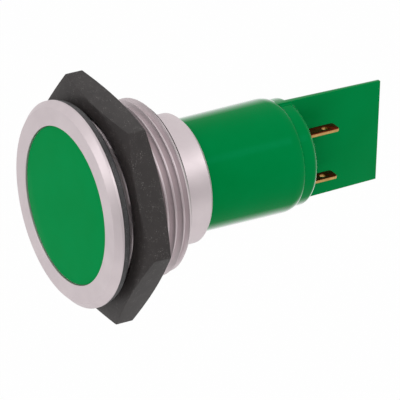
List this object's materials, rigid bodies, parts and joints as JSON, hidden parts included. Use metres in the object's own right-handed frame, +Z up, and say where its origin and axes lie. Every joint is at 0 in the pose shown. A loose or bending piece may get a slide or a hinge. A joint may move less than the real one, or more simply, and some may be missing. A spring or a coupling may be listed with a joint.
{
  "type": "panel pilot light",
  "caption": "Round panel pilot light with a flat green lens, satin metal bezel, threaded sleeve, hex nut, moulded rear housing with a barrier, and solder tabs.",
  "frame": {"origin": "on the lamp's axis, in the plane of the panel's front face, which is the back of the gasket", "axes": "+Y along the axis from the lens to the solder tabs, +Z up the barrier's width, +X towards the side that carries the solder tabs"},
  "size_m": [0.0422, 0.0604, 0.038],
  "materials": {
    "satin_metal": "satin nickel-plated brass, finely turned, with a light grain round the axis",
    "gasket_rubber": "dark grey moulded rubber with a faint speckle",
    "black_nylon": "black glass-filled nylon with fine pale flecks",
    "green_lens": "green flat lens, even in colour, smooth",
    "seal_rubber": "black nitrile seal ring",
    "frosted_film": "milky diffuser film",
    "white_plastic": "white moulded reflector block",
    "led_epoxy": "clear pale green epoxy",
    "white_board": "white solder resist on glass laminate",
    "tinned_pin": "tinned copper",
    "green_board": "green solder resist on glass laminate",
    "black_epoxy": "black moulded epoxy",
    "blue_epoxy": "blue dipped epoxy",
    "capacitor_sleeve": "dark shrink sleeve over an aluminium can",
    "resistor_coat": "blue-grey flameproof coat",
    "tab_brass": "copper-red plated brass with pale gold edges",
    "potting_resin": "black potting resin",
    "green_moulding": "green moulded nylon, semi-gloss"
  },
  "bodies": {
    "root": {"bezel_sleeve": "satin_metal", "gasket": "gasket_rubber", "lens": "green_lens", "lens_seal": "seal_rubber", "diffuser": "frosted_film", "led_holder": "white_plastic", "led_1": "led_epoxy", "led_2": "led_epoxy", "led_3": "led_epoxy", "led_4": "led_epoxy", "led_5": "led_epoxy", "led_6": "led_epoxy", "led_7": "led_epoxy", "led_board": "white_board", "link_pin_1": "tinned_pin", "link_pin_2": "tinned_pin", "driver_board": "green_board", "rectifier": "black_epoxy", "surge_disc": "blue_epoxy", "capacitor": "capacitor_sleeve", "resistor_1": "resistor_coat", "resistor_2": "resistor_coat", "terminal_1": "tab_brass", "terminal_2": "tab_brass", "potting_plug": "potting_resin", "rear_housing": "green_moulding", "housing_seal": "seal_rubber"},
    "nut": {"mounting_nut": "black_nylon"}
  },
  "joints": [
    {"name": "nut_travel", "type": "slide", "parent": "root", "child": "nut", "axis": [0, 1, 0], "range_m": [-0.0014, 0.064]}
  ]
}
